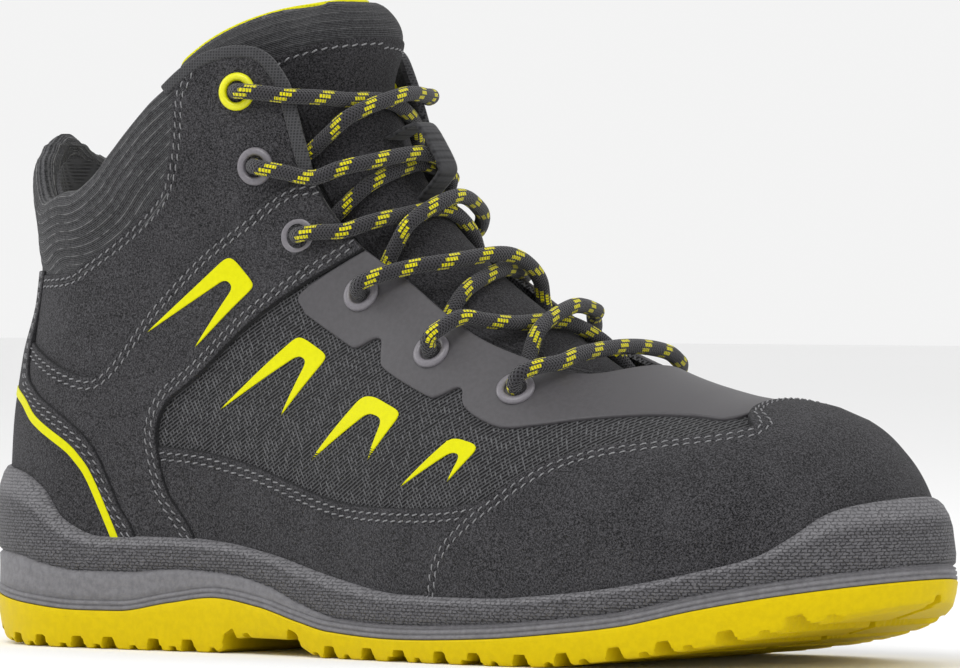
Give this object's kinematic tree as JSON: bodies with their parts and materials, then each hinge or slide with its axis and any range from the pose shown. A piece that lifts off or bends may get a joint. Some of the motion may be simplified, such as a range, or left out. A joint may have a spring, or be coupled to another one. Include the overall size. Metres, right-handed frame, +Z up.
{
  "type": "laced work and hiking boot",
  "caption": "Ankle-high laced boot with suede and mesh upper, padded collar, lacing eyelets, removable footbed, foam midsole and lugged rubber outsole.",
  "frame": {"origin": "middle of the bounding box, on the ground plane under the sole", "axes": "+X towards the toe, +Y towards the inner (medial) side of this right boot, +Z up"},
  "size_m": [0.305, 0.1064, 0.178],
  "materials": {
    "suede": "napped suede",
    "mesh": "woven mesh",
    "knit": "ribbed knit",
    "overlay": "smooth moulded film",
    "yellow_film": "satin",
    "outsole_rubber": "matte",
    "midsole_foam": "grained matte",
    "eyelet_grey": "satin",
    "eyelet_yellow": "satin",
    "lace_cord": "braided, with yellow flecks",
    "lining_cloth": "knitted",
    "yellow_cloth": "knitted",
    "board": "pressed fibre",
    "stiffener": "matte",
    "shank_steel": "brushed"
  },
  "bodies": {
    "boot": {"outsole": "outsole_rubber", "midsole": "midsole_foam", "shank": "shank_steel", "insole_board": "board", "lining": "lining_cloth", "toe_cap": "stiffener", "heel_counter": "stiffener", "collar_padding": "knit", "heel_stripe": "yellow_film", "eyestay_overlay": "overlay", "tongue": "suede", "tongue_lining": "yellow_cloth", "lace_keeper": "lace_cord", "lace": "lace_cord", "heel_panel": "suede", "toe_panel": "suede", "collar_panel_lateral": "suede", "side_band_lateral": "suede", "mesh_quarter_lateral": "mesh", "lower_quarter_lateral": "suede", "eyelet_lateral_1": "eyelet_yellow", "eyelet_lateral_2": "eyelet_grey", "eyelet_lateral_3": "eyelet_grey", "eyelet_lateral_4": "eyelet_grey", "eyelet_lateral_5": "eyelet_grey", "eyelet_lateral_6": "eyelet_grey", "chevron_lateral_1": "yellow_film", "chevron_lateral_2": "yellow_film", "chevron_lateral_3": "yellow_film", "chevron_lateral_4": "yellow_film", "collar_panel_medial": "suede", "side_band_medial": "suede", "mesh_quarter_medial": "mesh", "lower_quarter_medial": "suede", "eyelet_medial_1": "eyelet_yellow", "eyelet_medial_2": "eyelet_grey", "eyelet_medial_3": "eyelet_grey", "eyelet_medial_4": "eyelet_grey", "eyelet_medial_5": "eyelet_grey", "eyelet_medial_6": "eyelet_grey", "chevron_medial_1": "yellow_film", "chevron_medial_2": "yellow_film", "chevron_medial_3": "yellow_film", "chevron_medial_4": "yellow_film"},
    "tongue_top": {"tongue_top": "knit", "tongue_top_lining": "yellow_cloth"},
    "footbed": {"footbed": "lining_cloth"}
  },
  "joints": [
    {"name": "tongue_top_fold", "type": "hinge", "parent": "boot", "child": "tongue_top", "pos_m": [-0.027, 0, 0.15315], "axis": [0, 1, 0], "range_deg": [0, 15]},
    {"name": "footbed_lift", "type": "hinge", "parent": "boot", "child": "footbed", "pos_m": [0.1403, 0, 0.0285], "axis": [0, 1, 0], "range_deg": [0, 4]}
  ]
}
